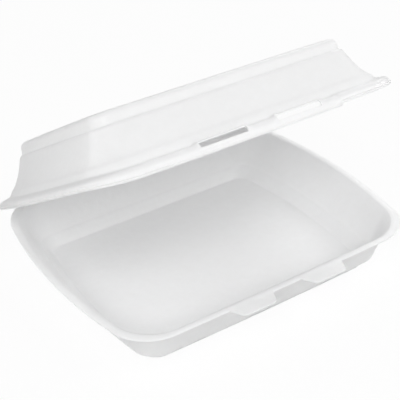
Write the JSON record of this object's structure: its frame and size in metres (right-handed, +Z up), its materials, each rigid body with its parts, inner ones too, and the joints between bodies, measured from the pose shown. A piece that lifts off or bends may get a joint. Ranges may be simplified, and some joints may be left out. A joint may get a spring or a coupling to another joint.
{
  "type": "foam clamshell container",
  "caption": "Hinged take-away food box of white foam, standing open: shallow bowed tray with latch tabs, lid with latch slots.",
  "frame": {"origin": "centre of the tray's flat underside, on the surface it stands on", "axes": "+X along the hinge to the right as seen from the front, -Y out of the open front, +Z up"},
  "size_m": [0.2488, 0.2087, 0.1578],
  "materials": {
    "foam_tray": "white expanded polystyrene foam with a soft skin sheen",
    "foam_lid": "white expanded polystyrene foam with a soft skin sheen"
  },
  "bodies": {
    "tray": {"base": "foam_tray"},
    "lid": {"lid": "foam_lid"}
  },
  "joints": [
    {"name": "lid_hinge", "type": "hinge", "parent": "tray", "child": "lid", "pos_m": [0, 0.1001, 0.03645], "axis": [-1, 0, 0], "range_deg": [-31.2, 148.8]}
  ]
}
